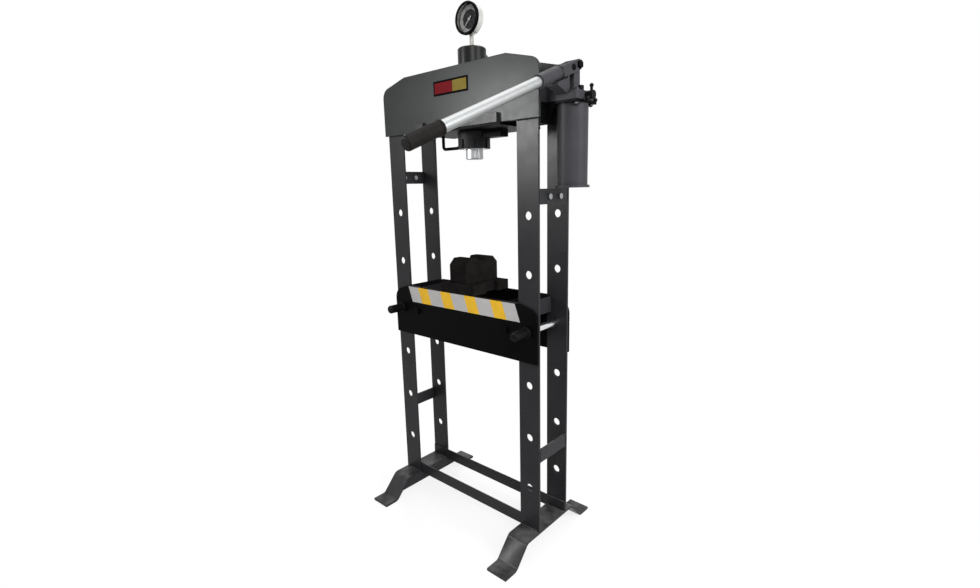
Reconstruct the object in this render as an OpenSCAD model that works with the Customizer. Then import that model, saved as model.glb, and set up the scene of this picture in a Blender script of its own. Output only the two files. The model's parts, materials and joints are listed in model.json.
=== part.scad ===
// Manual hydraulic shop press: a bolted and welded H-frame with a sliding cylinder,
// a height-adjustable bed on two pins and a hand pump on the right side.
// Millimetres, +Z up, front towards -Y. The origin is on the floor, midway between the uprights.

/* [Frame] */
// Width of each upright bar
upright_w = 88; // [76:1:104]
// Thickness of each upright bar
upright_t = 8; // [6:1:12]
// Distance between the centre lines of the left and right uprights
upright_span = 670; // [620:10:760]
// Clear distance between the front and rear uprights
frame_gap = 164; // [156:2:200]
// Height of the lowest row of pin holes above the floor
hole_first = 250; // [220:5:290]
// Pitch of the rows of pin holes
hole_pitch = 200; // [180:5:210]
// Number of rows of pin holes
hole_rows = 6; // [5:1:6]
// Diameter of the pin holes
hole_d = 29; // [25:0.5:33]
// How far the uprights stop below the top of the head
upright_drop = 68; // [60:1:84]

/* [Feet and ties] */
// Thickness of the bent foot straps
foot_t = 10; // [8:1:14]
// Clear height under the middle of a foot strap
foot_rise = 73; // [60:1:90]
// How far the flat middle of a foot strap reaches to the front
foot_flat = 150; // [140:1:170]
// How far the flat middle of a foot strap reaches to the rear
foot_back = 120; // [112:1:150]
// Length of the flat toe at each end of a foot strap
foot_toe = 49; // [36:1:64]
// Angle of the sloping run of a foot strap
foot_slope = 47; // [38:1:56]
// Bend radius of a foot strap, on its middle line
foot_bend_r = 24; // [18:1:30]
// Depth of the rib under the inner edge of a foot strap
foot_rib_h = 37; // [28:1:44]
// Leg width of the angle-bar stretchers
stretcher_leg = 48; // [36:1:54]
// Leg thickness of the angle-bar stretchers
stretcher_t = 5; // [4:0.5:8]
// Height of the side straps
strap_h = 51; // [40:1:60]
// Thickness of the side straps
strap_t = 8; // [6:1:12]
// Height of the middle of the left upper strap
strap_left_z = 1394; // [1350:2:1430]
// Height of the middle of the right upper strap
strap_right_z = 1312; // [1294:2:1316]
// Height of the middle of both lower straps
strap_low_z = 388; // [340:2:430]
// Distance between the two bolts of an upper strap
strap_bolt_pitch = 62; // [50:1:80]
// Thread diameter of the strap bolts
strap_bolt_d = 12; // [10:1:14]

/* [Head] */
// Height of the head plates' lower edge above the floor
head_z = 1558; // [1540:2:1620]
// Height of the head plates
head_h = 210; // [196:2:230]
// Thickness of the head plates
head_t = 10; // [8:1:14]
// How far the head plates reach past the uprights on each side
head_overhang = 10; // [4:1:18]
// Length of each sloping shoulder of the head, along its width
head_shoulder = 134; // [116:2:156]
// Radius of the outer corners of the head
head_r = 40; // [28:1:48]
// Slope of the shoulders of the head and of the bed
shoulder_slope = 14.5; // [10:0.5:18]
// Thickness of the tie plates inside the head
tie_t = 10; // [8:1:14]
// Side of the square rails that carry the cylinder
rail_side = 16; // [12:1:20]
// Height of the rails' top above the head's lower edge
rail_rise = 82; // [70:1:100]

/* [Bed] */
// Row of pin holes that holds the bed, counted from the floor
bed_row = 4; // [3:1:5]
// Height of the bed plates
bed_h = 210; // [190:2:230]
// Thickness of the bed plates
bed_t = 10; // [8:1:14]
// How far the bed plates reach past the uprights on each side
bed_overhang = 1; // [0:0.5:6]
// Length of each sloping shoulder of the bed, along its width
bed_shoulder = 90; // [80:1:110]
// Radius of the outer corners of the bed
bed_r = 50; // [36:1:56]
// Distance from the bed's top edge down to the pin axis
bed_pin_drop = 98; // [86:1:112]
// Height of the guide blocks between the bed plates
guide_h = 60; // [50:1:64]
// Length of a guide block inside the uprights
guide_l = 60; // [44:1:70]
// How far a guide block reaches between the uprights
guide_tongue = 20; // [12:1:30]
// Outside diameter of the bed's spacer tubes
spacer_d = 42; // [34:1:46]
// Distance from the pin axis to the spacer tube, along the width
spacer_inset = 95; // [88:1:120]
// Thread diameter of the bed's through bolts
bed_bolt_d = 16; // [12:1:18]

/* [Bed pins] */
// Length of the pin's tail behind the rear bed plate
pin_tail = 18; // [8:1:30]
// Length of a pin's grip in front of its collar
pin_grip = 62; // [50:1:80]
// Diameter of a pin's collar
pin_collar_d = 42; // [38:1:48]
// Diameter of a pin's grip
pin_grip_d = 34; // [33:0.5:37]

/* [Press blocks] */
// Thickness of the arbor plates
arbor_h = 38; // [30:1:46]
// Width of each arbor plate
arbor_w = 90; // [70:1:110]
// Depth of the step cut in the outer edge of each arbor plate
arbor_notch = 22; // [14:1:28]
// Height of the V-blocks
block_h = 94; // [80:1:110]
// Length of the V-blocks, front to back
block_l = 178; // [160:1:190]
// Thickness of each V-block
block_t = 45; // [36:1:54]
// Chamfer of a V-block's upper corners
block_chamfer = 24; // [16:1:30]
// Width of the notch at the top of a V-block
notch_w = 58; // [44:1:66]
// Depth of the notch
notch_depth = 14; // [10:1:18]
// Offset of the pair of V-blocks from the middle, along the width
block_x = -4.5; // [-20:0.5:20]

/* [Cylinder and carriage] */
// Offset of the cylinder from the middle of the press, at rest
carriage_x = 16; // [-40:1:40]
// Outside diameter of the cylinder
cyl_d = 104; // [98:1:114]
// Bore of the cylinder
cyl_bore = 80; // [74:1:84]
// How far the cylinder stands above the head
cyl_rise = 72; // [66:1:84]
// How far the cylinder hangs below the head
cyl_hang = 70; // [64:1:80]
// Diameter of the ram
ram_d = 65; // [55:1:68]
// How far the ram stands out of the cylinder at rest
ram_out = 38; // [28:1:50]
// Height of the piston
piston_h = 30; // [24:1:36]
// Outside diameter of the slotted lock ring
lock_d = 120; // [116:1:130]
// Height of the slotted lock ring
lock_h = 59; // [48:1:59]
// Number of spanner slots in the lock ring
lock_slots = 8; // [4:1:10]
// Thickness of the slide plate under the head
slide_t = 10; // [8:1:14]
// Half length of the slide plate
slide_half = 224; // [200:2:236]
// Height of the stiffening bar under the slide plate
stiff_h = 25; // [18:1:30]
// How far the stiffening bar reaches from the cylinder's axis
stiff_reach = 148; // [130:1:170]
// Width of the stiffening bar, front to back
stiff_w = 44; // [36:1:60]
// Width of each guide lug
lug_w = 50; // [36:1:60]
// Height of each guide lug
lug_h = 32; // [24:1:40]
// Thickness of each guide lug
lug_t = 12; // [8:1:16]
// Bar diameter of the carriage handle
grab_d = 12; // [9:1:14]
// Distance between the two legs of the carriage handle
grab_span = 90; // [76:1:94]
// Drop of the carriage handle below the slide plate
grab_drop = 57; // [48:1:64]
// Thickness of the hanger that rides on the rails
hanger_t = 12; // [8:1:16]
// Half length of the hanger
hanger_half = 75; // [66:1:90]

/* [Gauge] */
// Outside diameter of the gauge case
gauge_d = 104; // [90:1:116]
// Depth of the gauge case
gauge_depth = 36; // [32:1:40]
// Height of the gauge's middle above the cylinder
gauge_rise = 97; // [88:1:106]
// Diameter of the gauge's stem
stem_d = 14; // [12:1:16]

/* [Pump] */
// Outside diameter of the oil tank
tank_d = 100; // [92:1:108]
// Wall of the oil tank
tank_wall = 3; // [2:0.5:5]
// Height of the oil tank below the pump body
tank_h = 266; // [252:1:280]
// Gap between the uprights and the tank
tank_gap = 19; // [16:1:26]
// Height of the pump body's underside above the head's lower edge
pump_rise = 47; // [36:1:60]
// Thickness of the pump bracket
bracket_t = 8; // [6:1:10]
// Height of the bracket's back plate
bracket_h = 66; // [58:1:84]
// Height of the pump body's base
base_h = 27; // [24:1:32]
// Height of the lever pivot above the base
pivot_rise = 81; // [78:1:90]
// Distance of the lever pivot behind the tank's axis
pivot_y = 0; // [-2:1:6]
// Diameter of the pivot bolt
pivot_d = 16; // [14:1:18]
// Diameter of the pump plunger
plunger_d = 18; // [15:1:19]
// Outside diameter of the pump barrel inside the tank
barrel_d = 24; // [23:1:27]
// Diameter of the pin between lever and plunger
link_d = 12; // [10:1:13]
// Diameter of the release valve's spindle
spindle_d = 10; // [8:1:12]
// Radius of the release knob's arms, to the end of the ball
knob_r = 34; // [30:1:40]

/* [Lever] */
// Angle of the lever below level, resting on its stop
lever_droop = 21.3; // [16:0.1:24]
// Angle the lever swings up from its stop
lever_lift = 45; // [36:1:46]
// Length of the lever from its pivot to the end of the grip
lever_l = 741; // [680:1:800]
// Outside diameter of the lever's socket
socket_d = 42; // [39:1:46]
// Distance from the pivot to the mouth of the socket
socket_end = 199; // [186:1:220]
// Outside diameter of the handle tube
handle_d = 32; // [28:1:34]
// Wall of the handle tube
handle_wall = 3; // [2:0.5:4]
// Outside diameter of the grip
grip_d = 37; // [36:0.5:42]
// Length of the grip
grip_l = 121; // [100:1:140]
// Thickness of each cheek of the lever's fork
cheek_t = 8; // [6:1:10]
// Height of each cheek of the lever's fork
cheek_h = 32; // [28:1:36]

/* [Hidden] */
$fn = 64;
// Radial clearance of shafts that run in a bore
run_fit = 0.05;
// Radial clearance of loose pins and of pieces that are only assembled
loose_fit = 0.3;
// Clearance between faces that slide past each other
slide_gap = 0.3;
// Radial clearance of bolts in their holes
bolt_fit = 0.5;

// Frame
upright_x = upright_span / 2;
inner_x = upright_x - upright_w / 2;
outer_x = upright_x + upright_w / 2;
inner_y = frame_gap / 2;
face_y = inner_y + upright_t;
head_top = head_z + head_h;
foot_top = foot_rise + foot_t;
foot_rib_t = 6;
upright_top = head_top - upright_drop;
head_w = 2 * (outer_x + head_overhang);
head_y = face_y + head_t;
rail_top = head_z + rail_rise;
stretcher_inset = 2;
stretcher_z = foot_rise + 2;
strap_head_af = 18;

// Bed
pin_z = hole_first + (bed_row - 1) * hole_pitch;
bed_top = pin_z + bed_pin_drop;
bed_z = bed_top - bed_h;
bed_w = 2 * (outer_x + bed_overhang);
bed_y = face_y + bed_t;
guide_side_gap = 1;
guide_end_gap = 2;
spacer_x = upright_x - spacer_inset;
spacer_z = pin_z - 5;
bed_bolt_af = 24;
pin_d = hole_d - 2 * loose_fit;
pin_collar_h = 12;
pin_front = bed_y + slide_gap;
pin_end = pin_front + pin_collar_h + pin_grip;
arbor_seam = 1;
block_seam = 1;
block_z = bed_top + arbor_h;

// Cylinder and carriage
cyl_top = head_top + cyl_rise;
cyl_bottom = head_z - cyl_hang;
cyl_crown = 32;
cyl_port_d = 12;
fit_hole_d = cyl_d + 2 * loose_fit;
slide_top = head_z - slide_gap;
slide_bottom = slide_top - slide_t;
lug_gap = 1;
lug_end_inset = 15;
slide_y = head_y + lug_gap + lug_t;
gland_h = 30;
hanger_z = rail_top + slide_gap;
piston_gap = 15;
piston_top = cyl_top - cyl_crown - piston_gap;
ram_tip = cyl_bottom - ram_out;
seal_h = 8;
seal_depth = 5;
grab_gap = 17;
grab_x = carriage_x - lock_d / 2 - grab_gap - grab_span;
grab_bend = 12;

// Gauge
gauge_z = cyl_top + gauge_rise;
gauge_wall = 2;
gauge_y = -6;
gauge_r = gauge_d / 2;
gauge_inner_r = gauge_r - gauge_wall;
bezel_w = 3;
bezel_lip = 6;
stem_hex_af = 22;
stem_hex_h = 12;
needle_l = gauge_inner_r * 0.72;
needle_zero = 135;

// Pump
pump_x = outer_x + tank_gap + tank_d / 2;
pump_z = head_z + pump_rise;
base_top = pump_z + base_h;
base_half = tank_d / 2 + 1;
base_front = tank_d / 2 + 8;
base_back = tank_d / 2 + 2;
base_r = 10;
shelf_half = tank_d / 2 + 8;
shelf_end = pump_x + tank_d / 2 + 2;
gusset_t = 6;
gusset_l = 30;
tank_rim_d = tank_d + 14;
tank_rim_h = 8;
pump_bolt_d = 8;
pump_bolt_af = 13;
pump_bolt_at = (tank_d / 2 + 8) * cos(45);
barrel_depth = 75;
barrel_floor = 6;
plunger_y = -(tank_d / 2 - tank_wall - barrel_d / 2 - 1.7);
gland_af = 24;
gland_nut_h = 12;
valve_z = pump_z + base_h / 2;
valve_af = 24;
valve_h = 6;
knob_gap = 1.5;
knob_h = 18;
knob_hub_d = 26;
knob_arm_d = 9;
knob_ball_d = 13;
fitting_d = 16;
fitting_af = 24;
fitting_l = 12;

// Lever and linkage
pivot_z = base_top + pivot_rise;
link_cos = min(cos(lever_droop), cos(lever_lift - lever_droop));
link_r = 2 * (pivot_y - plunger_y) / (1 + link_cos);
link_play = 0.6;
link_z = pivot_z - link_r * sin(lever_droop);
link_slot_l = link_r * (1 - link_cos) + link_d + 2 * link_play;
link_slot_h = link_d + 2 * link_play;
link_wall = 3.5;
plunger_head_l = link_slot_l + 2 * link_wall;
plunger_head_h = link_slot_h + 12;
plunger_head_t = 24;
throat_gap = 4;
post_w = 29.4;
cheek_x = post_w / 2 + slide_gap;
post_front = plunger_y + plunger_head_l / 2 + throat_gap;
post_r = 16;
horn_back = plunger_y - plunger_head_l / 2 - throat_gap;
horn_front = -(tank_d / 2 + 62);
horn_w = 40;
horn_lip = 7;
throat_l = 32;
web_t = 24;
web_start = link_r + throat_l;
socket_start = web_start + web_t / 3;
socket_floor = web_start + web_t;

// An outline in X and Z as a plate from y0 to y0 + t
module standing(y0, t) {
    translate([0, y0 + t, 0]) rotate([90, 0, 0]) linear_extrude(t) children();
}

// An outline in Y and Z as a piece from x0 to x0 + t
module side_on(x0, t) {
    translate([x0, 0, 0]) rotate([90, 0, 90]) linear_extrude(t) children();
}

// A round bar along X
module bar_x(d, x0, x1) {
    translate([x0, 0, 0]) rotate([0, 90, 0]) cylinder(d = d, h = x1 - x0);
}

// A round bar along Y
module bar_y(d, y0, y1) {
    translate([0, y1, 0]) rotate([90, 0, 0]) cylinder(d = d, h = y1 - y0);
}

// A hexagon of a given width across flats, standing on z = 0
module hexagon(af, h) {
    cylinder(d = af / cos(30), h = h, $fn = 6);
}

// A bolt along -Z with its head above z = 0 and its nut under the clamped thickness
module hex_bolt(d, af, grip) {
    head_h = 0.65 * d;
    nut_h = 0.8 * d;
    hexagon(af, head_h);
    translate([0, 0, -grip - nut_h - d / 4]) cylinder(d = d, h = grip + nut_h + d / 4 + 1);
    translate([0, 0, -grip - nut_h]) hexagon(af, nut_h);
}

// Points along an arc about a centre
function arc(centre, r, from, to, steps = 12) = [
    for (i = [0:steps])
        let (angle = from + (to - from) * i / steps)
        centre + r * [cos(angle), sin(angle)]
];

// The same points mirrored to the other side and taken in reverse
function mirrored(points) = [
    for (i = [len(points) - 1:-1:0]) [-points[i][0], points[i][1]]
];

// Plate outline with two shallow sloping shoulders that end in round corners
module shouldered(w, h, shoulder, r) {
    drop = shoulder * tan(shoulder_slope);
    tangent = r * tan((90 - shoulder_slope) / 2);
    corner = [w / 2 - r, h - drop - tangent];
    half = concat(
        [[w / 2, 0]],
        arc(corner, r, 0, 90 - shoulder_slope),
        [[w / 2 - shoulder, h]]
    );
    polygon(concat(half, mirrored(half)));
}

// Rectangle with round corners
module round_rect(x0, x1, y0, y1, r) {
    translate([x0 + r, y0]) square([x1 - x0 - 2 * r, y1 - y0]);
    translate([x0, y0 + r]) square([x1 - x0, y1 - y0 - 2 * r]);
    for (x = [x0 + r, x1 - r], y = [y0 + r, y1 - r]) translate([x, y]) circle(r);
}

// Frame

module upright(side, face) {
    difference() {
        standing(face > 0 ? inner_y : -face_y, upright_t)
            translate([side * upright_x - upright_w / 2, foot_top])
                square([upright_w, upright_top - foot_top]);
        for (row = [0:hole_rows - 1])
            translate([side * upright_x, 0, hole_first + row * hole_pitch])
                bar_y(hole_d, -face_y - 1, face_y + 1);
    }
}

module upright_front_left() { color("#4b4c50") upright(-1, -1); }
module upright_front_right() { color("#4b4c50") upright(1, -1); }
module upright_rear_left() { color("#4b4c50") upright(-1, 1); }
module upright_rear_right() { color("#4b4c50") upright(1, 1); }

// Middle points of the two bends of a foot strap whose flat middle ends at y = flat
foot_slope_l = (foot_rise - 2 * foot_bend_r * (1 - cos(foot_slope))) / sin(foot_slope);
foot_run = 2 * foot_bend_r * sin(foot_slope) + foot_slope_l * cos(foot_slope);
foot_long_r = foot_bend_r + foot_t / 2;
foot_short_r = foot_bend_r - foot_t / 2;
function foot_knee(flat) = [flat, foot_rise + foot_t / 2 - foot_bend_r];
function foot_ankle(flat) = [flat + foot_run, foot_t / 2 + foot_bend_r];

// One end of a foot strap: sloping run and flat toe
function foot_end(flat) = concat(
    arc(foot_knee(flat), foot_long_r, 90, 90 - foot_slope),
    arc(foot_ankle(flat), foot_short_r, 270 - foot_slope, 270),
    [[flat + foot_run + foot_toe, foot_t], [flat + foot_run + foot_toe, 0]],
    arc(foot_ankle(flat), foot_long_r, 270, 270 - foot_slope),
    arc(foot_knee(flat), foot_short_r, 90 - foot_slope, 90)
);

module foot(side) {
    side_on(side * upright_x - upright_w / 2, upright_w)
        polygon(concat(foot_end(foot_back), mirrored(foot_end(foot_flat))));
}

// One end of the rib, cut to the underside of the sloping run
function rib_end(flat) =
    let (
        low = foot_rise - foot_rib_h,
        bend = foot_knee(flat) + foot_short_r * [sin(foot_slope), cos(foot_slope)]
    )
    concat(
        arc(foot_knee(flat), foot_short_r, 90, 90 - foot_slope),
        [[bend[0] + (bend[1] - low) / tan(foot_slope), low]]
    );

module foot_ribs() {
    color("#3f4042") for (side = [-1, 1])
        side_on(side > 0 ? inner_x : -inner_x - foot_rib_t, foot_rib_t)
            polygon(concat(rib_end(foot_back), mirrored(rib_end(foot_flat))));
}

module foot_left() { color("#55565a") foot(-1); }
module foot_right() { color("#55565a") foot(1); }

// Angle bar that reaches over both feet, cut out above the straps, its low leg to the rear
module stretcher(face) {
    half = outer_x - stretcher_inset;
    front = face > 0 ? inner_y - stretcher_t : -inner_y;
    reach = inner_y + stretcher_leg;
    difference() {
        side_on(-half, 2 * half) translate([front, stretcher_z]) polygon([
            [0, 0], [stretcher_leg, 0], [stretcher_leg, stretcher_t],
            [stretcher_t, stretcher_t], [stretcher_t, stretcher_leg], [0, stretcher_leg]
        ]);
        for (side = [-1, 1])
            translate([side > 0 ? inner_x : -outer_x, -reach, stretcher_z - 1])
                cube([upright_w, 2 * reach, foot_top - stretcher_z + 1]);
    }
}

module stretcher_front() { color("#3f4042") stretcher(-1); }
module stretcher_rear() { color("#3f4042") stretcher(1); }

module strap(side, z, bolted) {
    low_x = side > 0 ? outer_x - strap_t : -outer_x;
    difference() {
        translate([low_x, -inner_y, z - strap_h / 2]) cube([strap_t, frame_gap, strap_h]);
        if (bolted) for (y = [-1, 1] * strap_bolt_pitch / 2)
            translate([0, y, z])
                bar_x(strap_bolt_d + 2 * bolt_fit, low_x - 1, low_x + strap_t + 1);
    }
}

module upper_straps() {
    color("#47484b") {
        strap(-1, strap_left_z, true);
        strap(1, strap_right_z, true);
    }
}

module lower_straps() {
    color("#47484b") for (side = [-1, 1]) strap(side, strap_low_z, false);
}

module strap_bolts() {
    color("#c4c6c9") for (side = [-1, 1], y = [-1, 1] * strap_bolt_pitch / 2)
        translate([side * outer_x, y, side > 0 ? strap_right_z : strap_left_z])
            rotate([0, side * 90, 0]) hex_bolt(strap_bolt_d, strap_head_af, strap_t);
}

// Head

module head_plate(face) {
    standing(face > 0 ? face_y : -head_y, head_t)
        translate([0, head_z]) shouldered(head_w, head_h, head_shoulder, head_r);
}

module head_plate_front() { color("#5b6062") head_plate(-1); }
module head_plate_rear() { color("#5b6062") head_plate(1); }

module head_ties() {
    margin = 40;
    color("#47484b") for (side = [-1, 1])
        translate([side * (inner_x - guide_end_gap - tie_t / 2) - tie_t / 2, -face_y, head_z + margin])
            cube([tie_t, 2 * face_y, head_h - 2 * margin]);
}

module head_rails() {
    half = inner_x - guide_end_gap - tie_t;
    color("#47484b") for (face = [-1, 1])
        translate([-half, face > 0 ? face_y - rail_side : -face_y, rail_top - rail_side])
            cube([2 * half, rail_side, rail_side]);
}

// Bed

module bed_plate(face) {
    difference() {
        standing(face > 0 ? face_y : -bed_y, bed_t)
            translate([0, bed_z]) shouldered(bed_w, bed_h, bed_shoulder, bed_r);
        for (side = [-1, 1]) {
            translate([side * upright_x, 0, pin_z]) bar_y(hole_d, -bed_y - 1, bed_y + 1);
            translate([side * spacer_x, 0, spacer_z])
                bar_y(bed_bolt_d + 2 * bolt_fit, -bed_y - 1, bed_y + 1);
        }
    }
}

module bed_plate_front() { color("#1d1e1f") bed_plate(-1); }
module bed_plate_rear() { color("#1d1e1f") bed_plate(1); }

module bed_guides() {
    seat_x = inner_x - guide_end_gap;
    tongue_y = inner_y - guide_side_gap;
    drop = 2;
    color("#5f6064") for (side = [-1, 1])
        translate([0, 0, bed_top - drop - guide_h]) linear_extrude(guide_h)
            mirror([side > 0 ? 0 : 1, 0]) polygon([
                [seat_x - guide_l, -face_y], [seat_x, -face_y], [seat_x, -tongue_y],
                [inner_x + guide_tongue, -tongue_y], [inner_x + guide_tongue, tongue_y],
                [seat_x, tongue_y], [seat_x, face_y], [seat_x - guide_l, face_y]
            ]);
}

module bed_spacers() {
    color("#1d1e1f") for (side = [-1, 1]) translate([side * spacer_x, 0, spacer_z]) difference() {
        bar_y(spacer_d, -face_y, face_y);
        bar_y(bed_bolt_d + 2 * bolt_fit, -face_y - 1, face_y + 1);
    }
}

module bed_bolts() {
    color("#2a2b2d") for (side = [-1, 1]) translate([side * spacer_x, -bed_y, spacer_z])
        rotate([90, 0, 0]) hex_bolt(bed_bolt_d, bed_bolt_af, 2 * bed_y);
}

// Bed pins

module pin_shaft(side) {
    tip = bed_y + pin_tail;
    chamfer = 4;
    knob_depth = pin_collar_h + pin_grip - 16;
    translate([side * upright_x, tip, pin_z]) rotate([90, 0, 0]) rotate_extrude() polygon([
        [0, 0], [pin_d / 2 - chamfer, 0], [pin_d / 2, chamfer],
        [pin_d / 2, tip + pin_front + knob_depth], [0, tip + pin_front + knob_depth]
    ]);
}

// Collar, waisted grip and domed end, bored for the end of the shaft
module pin_knob(side) {
    collar_r = pin_collar_d / 2;
    grip_r = pin_grip_d / 2;
    bore_r = pin_d / 2 + 0.1;
    bore_l = pin_collar_h + pin_grip - 14;
    total = pin_collar_h + pin_grip;
    edge = 2;
    dome = 6;
    translate([side * upright_x, -pin_front, pin_z]) rotate([90, 0, 0]) rotate_extrude() polygon([
        [bore_r, 0], [collar_r - edge, 0], [collar_r, edge], [collar_r, pin_collar_h - edge],
        [collar_r - edge, pin_collar_h], [grip_r, pin_collar_h], [grip_r, total - dome],
        [grip_r - 2, total - 2], [grip_r - dome, total], [0, total], [0, bore_l], [bore_r, bore_l]
    ]);
}

module pin_shaft_left() { color("#d2d4d6") pin_shaft(-1); }
module pin_shaft_right() { color("#d2d4d6") pin_shaft(1); }
module pin_knob_left() { color("#151516") pin_knob(-1); }
module pin_knob_right() { color("#151516") pin_knob(1); }

// Press blocks

module arbor_plates() {
    step_w = 70;
    edge = 3;
    color("#232425") for (side = [-1, 1])
        translate([0, 0, bed_top]) mirror([side > 0 ? 0 : 1, 0, 0]) linear_extrude(arbor_h)
            difference() {
                polygon([
                    [arbor_seam / 2, -bed_y], [arbor_w + arbor_seam / 2 - edge, -bed_y],
                    [arbor_w + arbor_seam / 2, -bed_y + edge], [arbor_w + arbor_seam / 2, bed_y - edge],
                    [arbor_w + arbor_seam / 2 - edge, bed_y], [arbor_seam / 2, bed_y]
                ]);
                translate([arbor_w + arbor_seam / 2 - arbor_notch, -step_w / 2])
                    square([arbor_notch + 1, step_w]);
            }
}

module v_block_outline() {
    half = block_l / 2;
    floor_w = notch_w - notch_depth;
    polygon([
        [-half, 0], [half, 0], [half, block_h - block_chamfer], [half - block_chamfer, block_h],
        [notch_w / 2, block_h], [floor_w / 2, block_h - notch_depth],
        [-floor_w / 2, block_h - notch_depth], [-notch_w / 2, block_h],
        [-half + block_chamfer, block_h], [-half, block_h - block_chamfer]
    ]);
}

module v_blocks() {
    color("#39393b") for (side = [-1, 1])
        side_on(block_x + (side > 0 ? block_seam / 2 : -block_seam / 2 - block_t), block_t)
            translate([0, block_z]) v_block_outline();
}

// Cylinder and carriage

module slide_plate() {
    color("#161718") translate([carriage_x, 0, slide_bottom]) linear_extrude(slide_t) difference() {
        translate([-slide_half, -slide_y]) square([2 * slide_half, 2 * slide_y]);
        circle(d = fit_hole_d);
    }
}

module slide_stiffener() {
    near = lock_d / 2 + 3;
    color("#3a3b3d") translate([carriage_x + near, -stiff_w / 2, slide_bottom - stiff_h])
        cube([stiff_reach - near, stiff_w, stiff_h]);
}

module guide_lugs() {
    lug_x = slide_half - lug_end_inset - lug_w;
    color("#55585b") for (side = [-1, 1], face = [-1, 1])
        translate([
            carriage_x + (side > 0 ? lug_x : -lug_x - lug_w),
            face > 0 ? slide_y - lug_t : -slide_y,
            slide_top
        ]) cube([lug_w, lug_t, lug_h]);
}

// Bent round bar with two legs under the slide plate
module carriage_handle() {
    leg = grab_drop - grab_d / 2 - grab_bend;
    color("#1a1a1b") translate([grab_x, 0, slide_bottom]) {
        for (end = [0, 1]) translate([end * grab_span, 0, 0]) mirror([end, 0, 0]) {
            translate([0, 0, -leg]) cylinder(d = grab_d, h = leg);
            translate([grab_bend, 0, -leg]) rotate([90, 180, 0])
                rotate_extrude(angle = 90) translate([grab_bend, 0]) circle(d = grab_d);
        }
        translate([0, 0, -leg - grab_bend]) bar_x(grab_d, grab_bend, grab_span - grab_bend);
    }
}

module cylinder_body() {
    edge = 4;
    floor_z = cyl_top - cyl_crown;
    color("#3d3f42") difference() {
        translate([carriage_x, 0, 0]) rotate_extrude() polygon([
            [cyl_bore / 2, cyl_bottom], [cyl_d / 2, cyl_bottom], [cyl_d / 2, cyl_top - edge],
            [cyl_d / 2 - edge, cyl_top], [cyl_port_d / 2, cyl_top], [cyl_port_d / 2, floor_z],
            [cyl_bore / 2, floor_z]
        ]);
        translate([carriage_x, 0, cyl_top - cyl_crown / 2])
            bar_y(fitting_d + 2 * loose_fit, cyl_d / 2 - fitting_l - 1, cyl_d / 2 + 1);
    }
}

module lock_ring() {
    slot_w = 12;
    slot_depth = 6;
    slot_h = 0.55 * lock_h;
    color("#2c2d2f") translate([carriage_x, 0, slide_bottom - lock_h]) difference() {
        cylinder(d = lock_d, h = lock_h);
        translate([0, 0, -1]) cylinder(d = fit_hole_d, h = lock_h + 2);
        for (i = [0:lock_slots - 1]) rotate(360 * i / lock_slots)
            translate([lock_d / 2 - slot_depth, -slot_w / 2, -1])
                cube([slot_depth + 1, slot_w, slot_h + 1]);
    }
}

module ram_gland() {
    color("#8a8c8f") translate([carriage_x, 0, cyl_bottom]) difference() {
        cylinder(d = cyl_bore - 2 * run_fit, h = gland_h);
        translate([0, 0, -1]) cylinder(d = ram_d + 2 * run_fit, h = gland_h + 2);
    }
}

module cylinder_hanger() {
    half_y = face_y - slide_gap;
    color("#47484b") translate([carriage_x, 0, hanger_z]) linear_extrude(hanger_t) difference() {
        translate([-hanger_half, -half_y]) square([2 * hanger_half, 2 * half_y]);
        circle(d = fit_hole_d);
    }
}

// Threaded end, hexagon and open nose of a hose port, pointing along +Z
module hose_port() {
    nose_d = 14;
    nose_l = 14;
    bore_d = 8;
    hex_h = 12;
    difference() {
        union() {
            translate([0, 0, -fitting_l]) cylinder(d = fitting_d, h = fitting_l + 1);
            hexagon(fitting_af, hex_h);
            translate([0, 0, hex_h]) cylinder(d = nose_d, h = nose_l);
        }
        translate([0, 0, -fitting_l - 1]) cylinder(d = bore_d, h = fitting_l + hex_h + nose_l + 2);
    }
}

module cylinder_port() {
    color("#2a2b2d") translate([carriage_x, cyl_d / 2, cyl_top - cyl_crown / 2])
        rotate([-90, 0, 0]) hose_port();
}

module ram() {
    edge = 3;
    rod_r = ram_d / 2;
    piston_r = cyl_bore / 2 - run_fit;
    piston_z = piston_top - piston_h;
    seal_z = piston_z + (piston_h - seal_h) / 2;
    color("#d6d8da") translate([carriage_x, 0, 0]) rotate_extrude() polygon([
        [0, ram_tip], [rod_r - edge, ram_tip], [rod_r, ram_tip + edge], [rod_r, piston_z],
        [piston_r, piston_z], [piston_r, seal_z], [piston_r - seal_depth, seal_z],
        [piston_r - seal_depth, seal_z + seal_h], [piston_r, seal_z + seal_h],
        [piston_r, piston_top], [0, piston_top]
    ]);
}

module piston_seal() {
    outer_r = cyl_bore / 2 - run_fit;
    lip = 0.2;
    color("#1a1a1a") translate([carriage_x, 0, piston_top - (piston_h + seal_h) / 2 + lip])
        difference() {
            cylinder(r = outer_r, h = seal_h - 2 * lip);
            translate([0, 0, -1]) cylinder(r = outer_r - seal_depth + lip, h = seal_h + 2);
        }
}

// Gauge

// Places a shape turned about the gauge's axis, with its height pointing to the front
module at_gauge() {
    translate([carriage_x, gauge_y, gauge_z]) rotate([90, 0, 0]) children();
}

module gauge_stem() {
    thread_l = 12;
    color("#c4c6c9") translate([carriage_x, 0, cyl_top]) {
        translate([0, 0, -thread_l]) cylinder(d = cyl_port_d - 2 * loose_fit, h = thread_l + 1);
        hexagon(stem_hex_af, stem_hex_h);
        cylinder(d = stem_d, h = gauge_rise - gauge_inner_r + 0.5);
    }
}

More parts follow.
